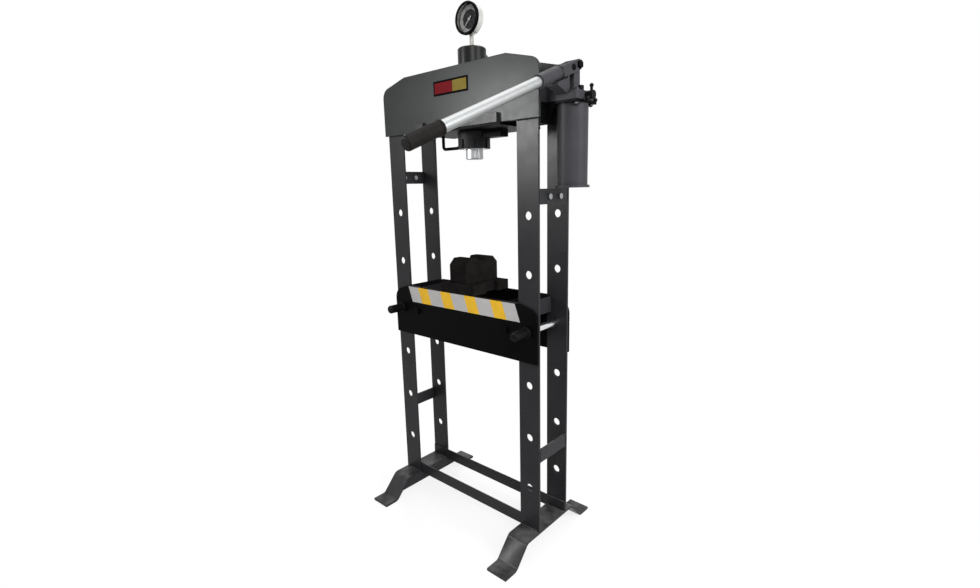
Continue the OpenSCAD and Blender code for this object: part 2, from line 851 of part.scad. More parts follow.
module gauge_case() {
    back = -gauge_depth / 2;
    front = gauge_depth / 2;
    edge = 4;
    color("#c9cbcd") difference() {
        at_gauge() rotate_extrude() polygon([
            [0, back], [gauge_r - edge, back], [gauge_r, back + edge], [gauge_r, front],
            [gauge_inner_r, front], [gauge_inner_r, back + edge + 1], [gauge_r - edge - 2, back + 2],
            [0, back + 2]
        ]);
        translate([carriage_x, 0, gauge_z - gauge_r - 2])
            cylinder(d = stem_d + 2 * loose_fit, h = gauge_wall + 3.5);
    }
}

module gauge_bezel() {
    front = gauge_depth / 2;
    skirt = 6;
    lip_t = 4;
    edge = 2;
    outer = gauge_r + bezel_w;
    inner = gauge_r - bezel_lip;
    color("#141415") at_gauge() rotate_extrude() polygon([
        [gauge_r + 0.2, front - skirt], [outer, front - skirt], [outer, front + lip_t - edge],
        [outer - edge, front + lip_t], [inner + edge, front + lip_t], [inner, front + edge],
        [inner, front + 0.2], [gauge_r + 0.2, front + 0.2]
    ]);
}

module gauge_dial() {
    color("#e4e4e0") at_gauge() translate([0, 0, 1]) difference() {
        cylinder(r = gauge_inner_r - 0.5, h = 1);
        translate([0, 0, -1]) cylinder(d = 4.2, h = 3);
    }
}

module gauge_glass() {
    color("#dfe8ea", 0.35) at_gauge() translate([0, 0, gauge_depth / 2 - 2.5])
        cylinder(r = gauge_inner_r - 0.5, h = 2);
}

module gauge_needle() {
    hub_d = 9;
    tail = 12;
    color("#b01818") at_gauge() rotate(needle_zero) {
        translate([0, 0, -1]) cylinder(d = 4, h = 5);
        translate([0, 0, 3]) cylinder(d = hub_d, h = 3);
        translate([0, 0, 4]) linear_extrude(1.2)
            polygon([[-2.6, -tail], [2.6, -tail], [0.6, needle_l], [-0.6, needle_l]]);
    }
}

// Pump

module pump_bracket() {
    back_x = outer_x;
    shelf_z = pump_z - bracket_t;
    half_y = face_y - slide_gap;
    color("#222325") {
        translate([back_x, -half_y, pump_z - bracket_h]) cube([bracket_t, 2 * half_y, bracket_h]);
        difference() {
            translate([back_x, -shelf_half, shelf_z])
                cube([shelf_end - back_x, 2 * shelf_half, bracket_t]);
            translate([pump_x, 0, shelf_z - 1]) cylinder(d = tank_d + 2 * bolt_fit, h = bracket_t + 2);
            for (x = [-1, 1] * pump_bolt_at, y = [-1, 1] * pump_bolt_at)
                translate([pump_x + x, y, shelf_z - 1])
                    cylinder(d = pump_bolt_d + 2 * bolt_fit, h = bracket_t + 2);
        }
        for (y = [-shelf_half, shelf_half - gusset_t]) translate([back_x, y, 0])
            standing(0, gusset_t) polygon([
                [bracket_t / 2, shelf_z + 1], [bracket_t + gusset_l, shelf_z + 1],
                [bracket_t + gusset_l, shelf_z - 6], [bracket_t, shelf_z - bracket_h * 0.8],
                [bracket_t / 2, shelf_z - bracket_h * 0.8]
            ]);
    }
}

module pump_tank() {
    low = pump_z - tank_h;
    color("#55575b") translate([pump_x, 0, 0]) rotate_extrude() polygon([
        [0, low], [tank_rim_d / 2, low], [tank_rim_d / 2, low + tank_rim_h],
        [tank_d / 2, low + tank_rim_h], [tank_d / 2, pump_z], [tank_d / 2 - tank_wall, pump_z],
        [tank_d / 2 - tank_wall, low + tank_rim_h], [0, low + tank_rim_h]
    ]);
}

// Height of the line on which the lever's socket rests, at a distance y from the tank's axis
function stop_z(y) =
    pivot_z - (pivot_y - y) * tan(lever_droop) - (socket_d / 2 + slide_gap) / cos(lever_droop);

module post_outline() {
    post_back = pivot_y + post_r + 2;
    union() {
        polygon([
            [post_front, base_top - 1], [post_front, base_top + pivot_rise * 0.6],
            [pivot_y - post_r * cos(40), pivot_z + post_r * sin(40)], [pivot_y, pivot_z],
            [pivot_y + post_r, pivot_z], [post_back, base_top + 20], [post_back, base_top - 1]
        ]);
        translate([pivot_y, pivot_z]) circle(post_r);
    }
}

module horn_outline() {
    polygon([
        [horn_back, base_top - 1], [horn_back, stop_z(horn_back)],
        [horn_front, stop_z(horn_front)], [horn_front, stop_z(horn_front) - horn_lip],
        [-base_front, pump_z + base_h * 0.6], [-base_front + 1, base_top - 1]
    ]);
}

module pump_body() {
    color("#5a5c60") difference() {
        translate([pump_x, 0, 0]) {
            translate([0, 0, pump_z]) linear_extrude(base_h)
                round_rect(-base_half, base_half, -base_front, base_back, base_r);
            side_on(-post_w / 2, post_w) post_outline();
            side_on(-horn_w / 2, horn_w) horn_outline();
            translate([0, plunger_y, pump_z - barrel_depth])
                cylinder(d = barrel_d, h = barrel_depth + 1);
        }
        translate([pump_x, plunger_y, pump_z - barrel_depth + barrel_floor])
            cylinder(d = plunger_d + 2 * run_fit, h = barrel_depth + base_h);
        translate([pump_x, pivot_y, pivot_z])
            bar_x(pivot_d + 2 * run_fit, -post_w, post_w);
        for (x = [-1, 1] * pump_bolt_at, y = [-1, 1] * pump_bolt_at)
            translate([pump_x + x, y, pump_z - 1])
                cylinder(d = pump_bolt_d + 2 * bolt_fit, h = base_h + 2);
        translate([pump_x, 0, valve_z])
            bar_x(spindle_d + 2 * run_fit, base_half - 16, base_half + 1);
        translate([pump_x, 0, valve_z])
            bar_y(fitting_d + 2 * loose_fit, base_back - fitting_l - 1, base_back + 1);
    }
}

module plunger_gland() {
    color("#2b2c2e") translate([pump_x, plunger_y, base_top]) difference() {
        hexagon(gland_af, gland_nut_h);
        translate([0, 0, -1]) cylinder(d = plunger_d + 2 * run_fit, h = gland_nut_h + 2);
    }
}

module pump_bolts() {
    color("#2a2b2d") for (x = [-1, 1] * pump_bolt_at, y = [-1, 1] * pump_bolt_at)
        translate([pump_x + x, y, base_top])
            hex_bolt(pump_bolt_d, pump_bolt_af, base_h + bracket_t);
}

module filler_cap() {
    cap_d = 18;
    cap_h = 16;
    edge = 2;
    color("#121213") translate([pump_x + base_half - cap_d / 2 - 3, -15, base_top]) rotate_extrude()
        polygon([
            [0, 0], [cap_d / 2, 0], [cap_d / 2, cap_h - edge], [cap_d / 2 - edge, cap_h], [0, cap_h]
        ]);
}

module pump_outlet() {
    color("#2a2b2d") translate([pump_x, base_back, valve_z]) rotate([-90, 0, 0]) hose_port();
}

// Release valve

module at_valve() {
    translate([pump_x + base_half, 0, valve_z]) rotate([0, 90, 0]) children();
}

module valve_gland() {
    color("#2a2b2d") at_valve() difference() {
        hexagon(valve_af, valve_h);
        translate([0, 0, -1]) cylinder(d = spindle_d + 2 * run_fit, h = valve_h + 2);
    }
}

module release_spindle() {
    color("#c9cbcd") at_valve() translate([0, 0, -15])
        cylinder(d = spindle_d, h = 15 + valve_h + knob_gap + knob_h - 3);
}

module release_knob() {
    ball_at = knob_r - knob_ball_d / 2;
    color("#171718") at_valve() translate([0, 0, valve_h + knob_gap]) difference() {
        union() {
            cylinder(d = knob_hub_d, h = knob_h);
            for (i = [0:2]) rotate([0, 0, 180 + 120 * i]) {
                translate([0, 0, knob_h / 2]) bar_x(knob_arm_d, 0, ball_at);
                translate([ball_at, 0, knob_h / 2]) sphere(d = knob_ball_d);
            }
        }
        translate([0, 0, -1]) cylinder(d = spindle_d + 0.2, h = knob_h - 2);
    }
}

// Lever and linkage

module plunger() {
    slot_half = (link_slot_l - link_slot_h) / 2;
    rod_low = pump_z - barrel_depth + barrel_floor + 5;
    rod_high = link_z - plunger_head_h / 2;
    color("#3a3b3d") translate([pump_x, plunger_y, 0]) {
        translate([0, 0, rod_low]) cylinder(d = plunger_d, h = rod_high - rod_low + 2);
        difference() {
            translate([-plunger_head_t / 2, -plunger_head_l / 2, rod_high])
                cube([plunger_head_t, plunger_head_l, plunger_head_h]);
            side_on(-plunger_head_t, 2 * plunger_head_t) translate([0, link_z]) {
                translate([-slot_half, -link_slot_h / 2]) square([2 * slot_half, link_slot_h]);
                for (y = [-slot_half, slot_half]) translate([y, 0]) circle(d = link_slot_h);
            }
        }
    }
}

// Lever frame: origin on the pivot, the lever along -Y, at its rest angle
module at_lever() {
    translate([pump_x, pivot_y, pivot_z]) rotate([lever_droop, 0, 0]) children();
}

module pivot_bolt() {
    washer_gap = 0.4;
    half = cheek_x + cheek_t + washer_gap;
    head_h = 7;
    af = 22;
    color("#161617") translate([pump_x, pivot_y, pivot_z]) {
        bar_x(pivot_d, -half - 1, half + 1);
        translate([half, 0, 0]) rotate([0, 90, 0]) hexagon(af, head_h);
        translate([-half, 0, 0]) rotate([0, -90, 0]) hexagon(af, head_h);
    }
}

module cheek_outline() {
    square_l = socket_floor;
    difference() {
        union() {
            translate([-square_l, -cheek_h / 2]) square([square_l, cheek_h]);
            circle(d = cheek_h);
        }
        circle(d = pivot_d + 4 * run_fit);
        translate([-link_r, 0]) circle(d = link_d + 2 * run_fit);
    }
}

// Fork of two cheeks, closed by a web that carries the socket for the handle
module lever_yoke() {
    color("#5d5f63") at_lever() difference() {
        union() {
            for (x = [-cheek_x - cheek_t, cheek_x]) side_on(x, cheek_t) cheek_outline();
            translate([-cheek_x - 1, -socket_floor, -cheek_h / 2])
                cube([2 * cheek_x + 2, socket_floor - web_start, cheek_h]);
            bar_y(socket_d, -socket_end, -socket_start);
        }
        bar_y(handle_d + 2 * loose_fit, -socket_end - 1, -socket_floor);
    }
}

module link_pin() {
    half = cheek_x + cheek_t;
    cap_h = 3;
    color("#161617") at_lever() translate([0, -link_r, 0]) {
        bar_x(link_d, -half - 1, half + 1);
        bar_x(link_d + 6, half, half + cap_h);
        bar_x(link_d + 6, -half - cap_h, -half);
    }
}

module handle_tube() {
    tube_end = lever_l - 8;
    color("#eceeee") at_lever() difference() {
        bar_y(handle_d, -tube_end, -socket_floor - 2);
        bar_y(handle_d - 2 * handle_wall, -tube_end - 1, -socket_floor);
    }
}

// Rubber grip with a raised lip at its mouth, turned about the lever's axis
module handle_grip() {
    bore_r = handle_d / 2 + 0.2;
    outer_r = grip_d / 2;
    lip_r = outer_r + 1.5;
    lip_l = 6;
    end_wall = 6;
    edge = 4;
    color("#131314") at_lever() translate([0, -lever_l + grip_l, 0]) rotate([90, 0, 0])
        rotate_extrude() polygon([
            [bore_r, 0], [lip_r, 0], [lip_r, lip_l], [outer_r, lip_l + 1.5],
            [outer_r, grip_l - edge], [outer_r - edge, grip_l], [0, grip_l],
            [0, grip_l - end_wall], [bore_r, grip_l - end_wall]
        ]);
}

upright_front_left();
upright_front_right();
upright_rear_left();
upright_rear_right();
foot_left();
foot_right();
foot_ribs();
stretcher_front();
stretcher_rear();
upper_straps();
lower_straps();
strap_bolts();
head_plate_front();
head_plate_rear();
head_ties();
head_rails();
bed_plate_front();
bed_plate_rear();
bed_guides();
bed_spacers();
bed_bolts();
arbor_plates();
v_blocks();
pin_shaft_left();
pin_knob_left();
pin_shaft_right();
pin_knob_right();
slide_plate();
slide_stiffener();
guide_lugs();
carriage_handle();
cylinder_body();
lock_ring();
ram_gland();
cylinder_hanger();
cylinder_port();
ram();
piston_seal();
gauge_stem();
gauge_case();
gauge_bezel();
gauge_dial();
gauge_glass();
gauge_needle();
pump_bracket();
pump_tank();
pump_body();
plunger_gland();
pump_bolts();
filler_cap();
pump_outlet();
valve_gland();
release_spindle();
release_knob();
plunger();
pivot_bolt();
lever_yoke();
link_pin();
handle_tube();
handle_grip();
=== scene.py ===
import json
import math

import bmesh
import bpy
from mathutils import Matrix, Vector


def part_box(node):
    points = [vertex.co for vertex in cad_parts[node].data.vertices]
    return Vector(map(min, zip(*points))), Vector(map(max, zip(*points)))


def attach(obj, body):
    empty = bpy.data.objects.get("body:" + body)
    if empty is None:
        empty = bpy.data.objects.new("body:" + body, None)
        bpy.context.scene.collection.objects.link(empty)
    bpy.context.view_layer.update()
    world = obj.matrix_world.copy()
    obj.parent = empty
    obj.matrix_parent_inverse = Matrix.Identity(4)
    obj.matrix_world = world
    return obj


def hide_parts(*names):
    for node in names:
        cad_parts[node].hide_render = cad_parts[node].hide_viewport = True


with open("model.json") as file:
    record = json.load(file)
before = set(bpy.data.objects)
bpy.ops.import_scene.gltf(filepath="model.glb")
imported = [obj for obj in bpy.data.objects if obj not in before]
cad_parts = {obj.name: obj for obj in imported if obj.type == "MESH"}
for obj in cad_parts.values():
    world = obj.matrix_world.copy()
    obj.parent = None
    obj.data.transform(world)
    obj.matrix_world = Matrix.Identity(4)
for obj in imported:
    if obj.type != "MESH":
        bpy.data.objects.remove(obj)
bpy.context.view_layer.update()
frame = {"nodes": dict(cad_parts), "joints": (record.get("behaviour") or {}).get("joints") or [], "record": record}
NODES = frame["nodes"]
SUBPARTS = frame["record"]["subparts"]
X_AXIS = Vector((1, 0, 0))
Z_AXIS = Vector((0, 0, 1))
WHITE = (1, 1, 1, 1)
scene = bpy.context.scene
scene.view_settings.view_transform = "Standard"


# Camera, fitted to the straight edges and pin holes of the photograph

CAMERA_PLACE = (1.3901, -1.4682, 1.3426)
AZIMUTH = math.radians(41.78)
ELEVATION = math.radians(11.59)
ROLL = math.radians(-1.256)
FOCAL_PX = 515.5
PHOTO_WIDTH_PX = 980
SENSOR_MM = 36


def make_camera():
    forward = Vector((
        -math.sin(AZIMUTH) * math.cos(ELEVATION),
        math.cos(AZIMUTH) * math.cos(ELEVATION),
        -math.sin(ELEVATION),
    ))
    level = forward.cross(Z_AXIS).normalized()
    steep = level.cross(forward)
    right = level * math.cos(ROLL) + steep * math.sin(ROLL)
    up = steep * math.cos(ROLL) - level * math.sin(ROLL)
    data = bpy.data.cameras.new("camera")
    data.sensor_width = SENSOR_MM
    data.lens = FOCAL_PX / PHOTO_WIDTH_PX * SENSOR_MM
    camera = bpy.data.objects.new("camera", data)
    scene.collection.objects.link(camera)
    turn = Matrix((right, up, -forward)).transposed().to_4x4()
    camera.matrix_world = Matrix.Translation(CAMERA_PLACE) @ turn
    scene.camera = camera


make_camera()


# Materials

class Shade:
    """A material with short ways to add nodes and links."""

    def __init__(self, name):
        self.mat = bpy.data.materials.new(name)
        self.mat.use_nodes = True
        self.tree = self.mat.node_tree
        self.bsdf = self.tree.nodes["Principled BSDF"]
        self.place = None

    def set(self, **values):
        for key, value in values.items():
            self.bsdf.inputs[key.replace("_", " ")].default_value = value

    def node(self, kind, **settings):
        made = self.tree.nodes.new(kind)
        for key, value in settings.items():
            if hasattr(made, key):
                setattr(made, key, value)
            else:
                made.inputs[key].default_value = value
        return made

    def link(self, source, target):
        self.tree.links.new(source, target)

    def coords(self):
        if self.place is None:
            self.place = self.node("ShaderNodeTexCoord").outputs["Object"]
        return self.place

    def noise(self, scale, detail=3.0, rough=0.55, stretch=None):
        made = self.node("ShaderNodeTexNoise", Scale=scale, Detail=detail, Roughness=rough)
        source = self.coords()
        if stretch:
            mapping = self.node("ShaderNodeMapping", Scale=stretch)
            self.link(source, mapping.inputs["Vector"])
            source = mapping.outputs["Vector"]
        self.link(source, made.inputs["Vector"])
        return made.outputs["Fac"]

    def ramp(self, fac, low, high, a, b):
        """Colour a up to low, colour b from high on."""
        made = self.node("ShaderNodeValToRGB")
        stops = made.color_ramp.elements
        stops[0].position, stops[0].color = low, (*a, 1)
        stops[1].position, stops[1].color = high, (*b, 1)
        self.link(fac, made.inputs["Fac"])
        return made.outputs["Color"]

    def span(self, fac, low, high, a, b):
        """Value a up to low, value b from high on."""
        made = self.node("ShaderNodeMapRange", clamp=True)
        for key, value in zip(("From Min", "From Max", "To Min", "To Max"), (low, high, a, b)):
            made.inputs[key].default_value = value
        self.link(fac, made.inputs["Value"])
        return made.outputs["Result"]

    def mix(self, fac, a, b):
        made = self.node("ShaderNodeMix", data_type="RGBA")
        self.link(fac, made.inputs[0])
        for value, index in ((a, 6), (b, 7)):
            if isinstance(value, tuple):
                made.inputs[index].default_value = (*value, 1)
            else:
                self.link(value, made.inputs[index])
        return made.outputs[2]

    def product(self, a, b):
        made = self.node("ShaderNodeMath", operation="MULTIPLY")
        for value, index in ((a, 0), (b, 1)):
            self.link(value, made.inputs[index])
        return made.outputs[0]

    def bump(self, height, distance, strength):
        made = self.node("ShaderNodeBump", Strength=strength, Distance=distance)
        self.link(height, made.inputs["Height"])
        self.link(made.outputs["Normal"], self.bsdf.inputs["Normal"])

    def facing(self, direction):
        """1 on faces that look along a direction, 0 on the others."""
        dot = self.node("ShaderNodeVectorMath", operation="DOT_PRODUCT")
        self.link(self.node("ShaderNodeNewGeometry").outputs["Normal"], dot.inputs[0])
        dot.inputs[1].default_value = direction
        return self.span(dot.outputs["Value"], 0.6, 0.95, 0, 1)

    def edge(self, width):
        """1 on the object's sharp edges, 0 on its flat faces."""
        soft = self.node("ShaderNodeBevel", samples=4, Radius=width)
        dot = self.node("ShaderNodeVectorMath", operation="DOT_PRODUCT")
        self.link(soft.outputs["Normal"], dot.inputs[0])
        self.link(self.node("ShaderNodeNewGeometry").outputs["Normal"], dot.inputs[1])
        return self.span(dot.outputs["Value"], 0.98, 0.80, 0, 1)

    def colour(self, socket):
        self.link(socket, self.bsdf.inputs["Base Color"])

    def roughness(self, socket):
        self.link(socket, self.bsdf.inputs["Roughness"])


DUST_AND_TOP_LIGHT = (0.42, 0.41, 0.39)


def tint(colour, factor):
    return tuple(min(1.0, c * factor) for c in colour)


def paint(name, colour, rough=0.42, edge_wear_and_highlight=0.35, dust_and_top_light=0.12, shine=0.3, dark_facing=None):
    """Sprayed satin paint: mottled, lighter on top from dust and painted light from above, lighter along its edges
    from wear and a painted highlight.

    A face that looks along the given dark direction gets a much darker colour: painted shade on the inner face of
    the head's rear plate."""
    s = Shade(name)
    mottle = s.ramp(s.noise(7, 5), 0.3, 0.7, tint(colour, 0.86), tint(colour, 1.14))
    speck = s.span(s.noise(420, 2), 0.62, 0.75, 0, 0.25)
    base = s.mix(speck, mottle, tint(colour, 1.5))
    # Upward faces lighter: partly dust, partly painted light falling from above.
    dust_and_top_light_mask = s.product(s.facing(Z_AXIS), s.span(s.noise(18, 6), 0.35, 0.75, 0, dust_and_top_light))
    base = s.mix(dust_and_top_light_mask, base, DUST_AND_TOP_LIGHT)
    # Edges lighter: partly paint worn off, partly a painted highlight along the edges.
    edge_wear_and_highlight_mask = s.product(s.edge(0.0025), s.span(s.noise(55, 6), 0.42, 0.72, 0, edge_wear_and_highlight))
    base = s.mix(edge_wear_and_highlight_mask, base, tuple(2.4 * c + 0.006 for c in colour))
    # Faces along the dark direction made much darker; on the head's rear plate this is painted shade.
    if dark_facing:
        base = s.mix(s.facing(dark_facing), base, tint(colour, 0.2))
    s.colour(base)
    s.roughness(s.span(s.noise(30, 4), 0.3, 0.7, rough - 0.02, rough + 0.03))
    s.bump(s.noise(380, 2), 0.00012, 0.25)
    s.set(Specular_IOR_Level=shine)
    return s.mat


def cast(name, colour, rough=0.55, shine=0.2):
    """Rough cast or flame-cut surface under a thin coat."""
    s = Shade(name)
    base = s.ramp(s.noise(26, 8, 0.65), 0.3, 0.72, tint(colour, 0.7), tint(colour, 1.35))
    # Edges lighter: partly coat worn off, partly a painted highlight along the edges.
    edge_wear_and_highlight_mask = s.product(s.edge(0.003), s.span(s.noise(60, 6), 0.4, 0.7, 0, 0.4))
    s.colour(s.mix(edge_wear_and_highlight_mask, base, tint(colour, 3.0)))
    s.roughness(s.span(s.noise(48, 5), 0.3, 0.7, rough - 0.08, rough + 0.12))
    s.bump(s.noise(240, 5, 0.6), 0.0009, 0.5)
    s.set(Specular_IOR_Level=shine)
    return s.mat


def steel(name, colour, rough=0.22, stretch=(1, 1, 1), lines=300, stain=0.18):
    """Bare or plated metal with fine drawn or turned lines."""
    s = Shade(name)
    fine = s.noise(lines, 3, 0.6, stretch)
    cloud = s.noise(14, 5)
    base = s.ramp(fine, 0.25, 0.75, tint(colour, 0.9), tint(colour, 1.06))
    s.colour(s.mix(s.span(cloud, 0.5, 0.8, 0, stain), base, tint(colour, 0.62)))
    s.roughness(s.span(fine, 0.2, 0.8, rough - 0.05, rough + 0.1))
    s.bump(fine, 0.00006, 0.5)
    s.set(Metallic=1.0)
    return s.mat


def plastic(name, colour, rough=0.45, grain=900, depth=0.0001, shine=0.25):
    """Moulded plastic or rubber with a fine grain."""
    s = Shade(name)
    s.colour(s.ramp(s.noise(20, 4), 0.3, 0.7, tint(colour, 0.8), tint(colour, 1.25)))
    s.roughness(s.span(s.noise(60, 4), 0.3, 0.7, rough - 0.06, rough + 0.1))
    s.bump(s.noise(grain, 2), depth, 0.4)
    s.set(Specular_IOR_Level=shine)
    return s.mat


def film(name, colour, rough=0.35, shine=0.15):
    """Printed foil: nearly even, slightly scuffed."""
    s = Shade(name)
    base = s.ramp(s.noise(40, 6), 0.3, 0.75, tint(colour, 0.9), tint(colour, 1.04))
    scuff = s.span(s.noise(160, 6, 0.7, (0.25, 1, 1)), 0.66, 0.78, 0, 0.35)
    s.colour(s.mix(scuff, base, tint(colour, 0.6)))
    s.roughness(s.span(s.noise(90, 4), 0.3, 0.7, rough - 0.08, rough + 0.12))
    s.bump(s.noise(500, 2), 0.00004, 0.3)
    s.set(Specular_IOR_Level=shine)
    return s.mat


def lens(name):
    """Thin flat glass with faint smears."""
    s = Shade(name)
    s.set(Base_Color=(0.03, 0.034, 0.034, 1), Alpha=0.12, Specular_IOR_Level=0.08)
    s.roughness(s.span(s.noise(60, 4), 0.4, 0.8, 0.04, 0.10))
    return s.mat


HEAD = {"colour": (0.0235, 0.0260, 0.0260), "rough": 0.32, "shine": 0.09}
MATS = {
    "frame_grey": paint("frame_grey", (0.0165, 0.0165, 0.0185), 0.34, dust_and_top_light=0.18, shine=0.11),
    "head_grey": paint("head_grey", **HEAD),
    "black_paint": paint("black_paint", (0.0020, 0.0020, 0.0022), 0.42, 0.3, 0.02, 0.02),
    "block_iron": cast("block_iron", (0.0105, 0.0092, 0.0090), 0.7, shine=0.0),
    "bright_steel": steel("bright_steel", (0.74, 0.75, 0.76), 0.18),
    "zinc": steel("zinc", (0.34, 0.35, 0.36), 0.34, lines=500),
    "handle_steel": steel("handle_steel", (0.35, 0.36, 0.36), 0.48, lines=420),
    "dark_steel": steel("dark_steel", (0.022, 0.022, 0.023), 0.38, lines=500),
    "black_plastic": plastic("black_plastic", (0.004, 0.004, 0.0045), 0.42, shine=0.05),
    "rubber": plastic("rubber", (0.008, 0.008, 0.008), 0.55, 700, 0.00015),
    "gauge_metal": steel("gauge_metal", (0.64, 0.64, 0.62), 0.28, lines=1200, stain=0.08),
    "dial_black": plastic("dial_black", (0.006, 0.006, 0.006), 0.5, 1500, 0.00003, 0.1),
    "needle_white": plastic("needle_white", (0.55, 0.55, 0.53), 0.4, 1500, 0.00003),
    "lens": lens("lens"),
}
STRIP_GREY = film("strip_grey", (0.41, 0.40, 0.395))
STRIP_YELLOW = film("strip_yellow", (0.70, 0.41, 0.018))
BADGE_BLACK = film("badge_black", (0.006, 0.006, 0.006), 0.5, 0.0)
BADGE_RED = film("badge_red", (0.17, 0.016, 0.020), 0.5, 0.0)
BADGE_GOLD = film("badge_gold", (0.22, 0.17, 0.042), 0.5, 0.0)
SCALE_WHITE = film("scale_white", (0.45, 0.45, 0.44), 0.5)
SCALE_BLACK = plastic("scale_black", (0.008, 0.008, 0.008), 0.5, 1500, 0.00003, 0.1)
GRIP_RUBBER = plastic("grip_rubber", (0.0075, 0.0064, 0.0060), 0.55, 700, 0.00012, 0.07)
PUMP_GREY = paint("pump_grey", (0.034, 0.034, 0.038), 0.46, shine=0.07)

# Nodes that don't look like the rest of their slot
OWN_LOOK = {
    "lock_ring": cast("lock_ring", (0.012, 0.012, 0.013), shine=0.12),
    "ram": steel("ram_steel", (0.33, 0.34, 0.35), 0.34, (1, 1, 0.1), stain=0.4),
    "gauge_stem": steel("stem_steel", (0.17, 0.16, 0.15), 0.34),
    "cylinder_body": paint("cylinder_grey", (0.0070, 0.0075, 0.0080), 0.30, shine=0.12),
    # Inner face of the rear head plate much darker: painted shade between the head plates.
    "head_plate_rear": paint("head_grey_rear", **HEAD, dark_facing=(0, -1, 0)),
    "pump_tank": PUMP_GREY,
    "pump_body": PUMP_GREY,
    "lever_yoke": PUMP_GREY,
    "bed_guides": paint(
        "guide_grey", (0.022, 0.022, 0.025), 0.6, dust_and_top_light=0.0, shine=0.0, dark_facing=(0, 0, 1)
    ),
    "bed_bolts": MATS["black_paint"],
}

for part in SUBPARTS:
    mesh = NODES[part["node"]].data
    mesh.materials.clear()
    mesh.materials.append(OWN_LOOK.get(part["node"], MATS[part["material_slot"]]))


# Small broken edges on the solids, the nodes grouped by the width of their bevel

EDGES = {
    0.0010: (
        "stretcher_front", "stretcher_rear", "upper_straps", "lower_straps", "guide_lugs",
        "head_ties", "head_rails", "cylinder_hanger",
    ),
    0.0012: (
        "upright_front_left", "upright_front_right", "upright_rear_left", "upright_rear_right",
        "slide_plate",
    ),
    0.0015: (
        "foot_left", "foot_right", "head_plate_front", "head_plate_rear", "bed_plate_front",
        "bed_plate_rear", "bed_guides", "arbor_plates", "slide_stiffener",
    ),
    0.0020: ("v_blocks",),
}


def break_edges(node, width):
    ob = NODES[node]
    weld = ob.modifiers.new("weld", "WELD")
    weld.merge_threshold = 0.00001
    flat = ob.modifiers.new("flat", "DECIMATE")
    flat.decimate_type = "DISSOLVE"
    flat.angle_limit = math.radians(0.5)
    bevel = ob.modifiers.new("bevel", "BEVEL")
    bevel.width = width
    bevel.segments = 2
    bevel.limit_method = "ANGLE"
    bevel.angle_limit = math.radians(35)
    bevel.harden_normals = True


for width, nodes in EDGES.items():
    for node in nodes:
        break_edges(node, width)


# Ways to make pieces of the scene

def new_piece(name, bm, material, body):
    mesh = bpy.data.meshes.new(name)
    bmesh.ops.recalc_face_normals(bm, faces=bm.faces)
    bm.to_mesh(mesh)
    bm.free()
    mesh.materials.append(material)
    ob = bpy.data.objects.new(name, mesh)
    scene.collection.objects.link(ob)
    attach(ob, body)
    return ob


def smooth(ob, angle):
    ob.data.polygons.foreach_set("use_smooth", [True] * len(ob.data.polygons))
    ob.data.set_sharp_from_angle(angle=math.radians(angle))


def lathe(bm, origin, along, profile, steps):
    """A turned solid: profile is a closed loop of (distance along the axis, radius) points."""
    side = along.orthogonal().normalized()
    other = along.cross(side)
    rings = []
    for distance, radius in profile:
        centre = origin + along * distance
        if radius == 0:
            rings.append([bm.verts.new(centre)] * steps)
            continue
        turns = (2 * math.pi * k / steps for k in range(steps))
        rings.append([
            bm.verts.new(centre + (side * math.cos(t) + other * math.sin(t)) * radius) for t in turns
        ])
    for a, b in zip(rings, rings[1:] + rings[:1]):
        for k in range(steps):
            corners = (a[k], a[(k + 1) % steps], b[(k + 1) % steps], b[k])
            corners = list(dict.fromkeys(corners))
            if len(corners) > 2:
                bm.faces.new(corners)


def prism(bm, outline, depth):
    """A closed plate: outline is a loop of points, depth the vector to its other face."""
    depth = Vector(depth)
    near = [bm.verts.new(Vector(p)) for p in outline]
    far = [bm.verts.new(Vector(p) + depth) for p in outline]
    bm.faces.new(near)
    bm.faces.new(list(reversed(far)))
    for i in range(len(near)):
        j = (i + 1) % len(near)
        bm.faces.new((near[j], near[i], far[i], far[j]))


# Lever: its axis runs from the pivot, drooping to the front

DROOP = math.radians(21.3)
ALONG = Vector((0, -math.cos(DROOP), -math.sin(DROOP)))
PIVOT = Vector(next(j["pos_m"] for j in frame["joints"] if j["name"] == "lever_swing"))
# Points this near to an outermost one lie on the same face
SAME_FACE = 0.0005


def lever_points(node):
    """Each point of a lever node as its reach from the pivot, its distance off the axis and its x."""
    points = []
    for v in NODES[node].data.vertices:
        offset = v.co - PIVOT
        reach = offset.dot(ALONG)
        points.append((reach, (offset - ALONG * reach).length, offset.x))
    return points


def yoke_sizes():
    """Reach of the cheeks' ends, and the radius of the socket."""
    points = lever_points("lever_yoke")
    wide = max(x for _, _, x in points)
    far = max(reach for reach, _, _ in points)
    cheek_end = max(reach for reach, _, x in points if x > wide - SAME_FACE)
    socket_r = max(off for reach, off, _ in points if reach > far - SAME_FACE)
    return cheek_end, socket_r


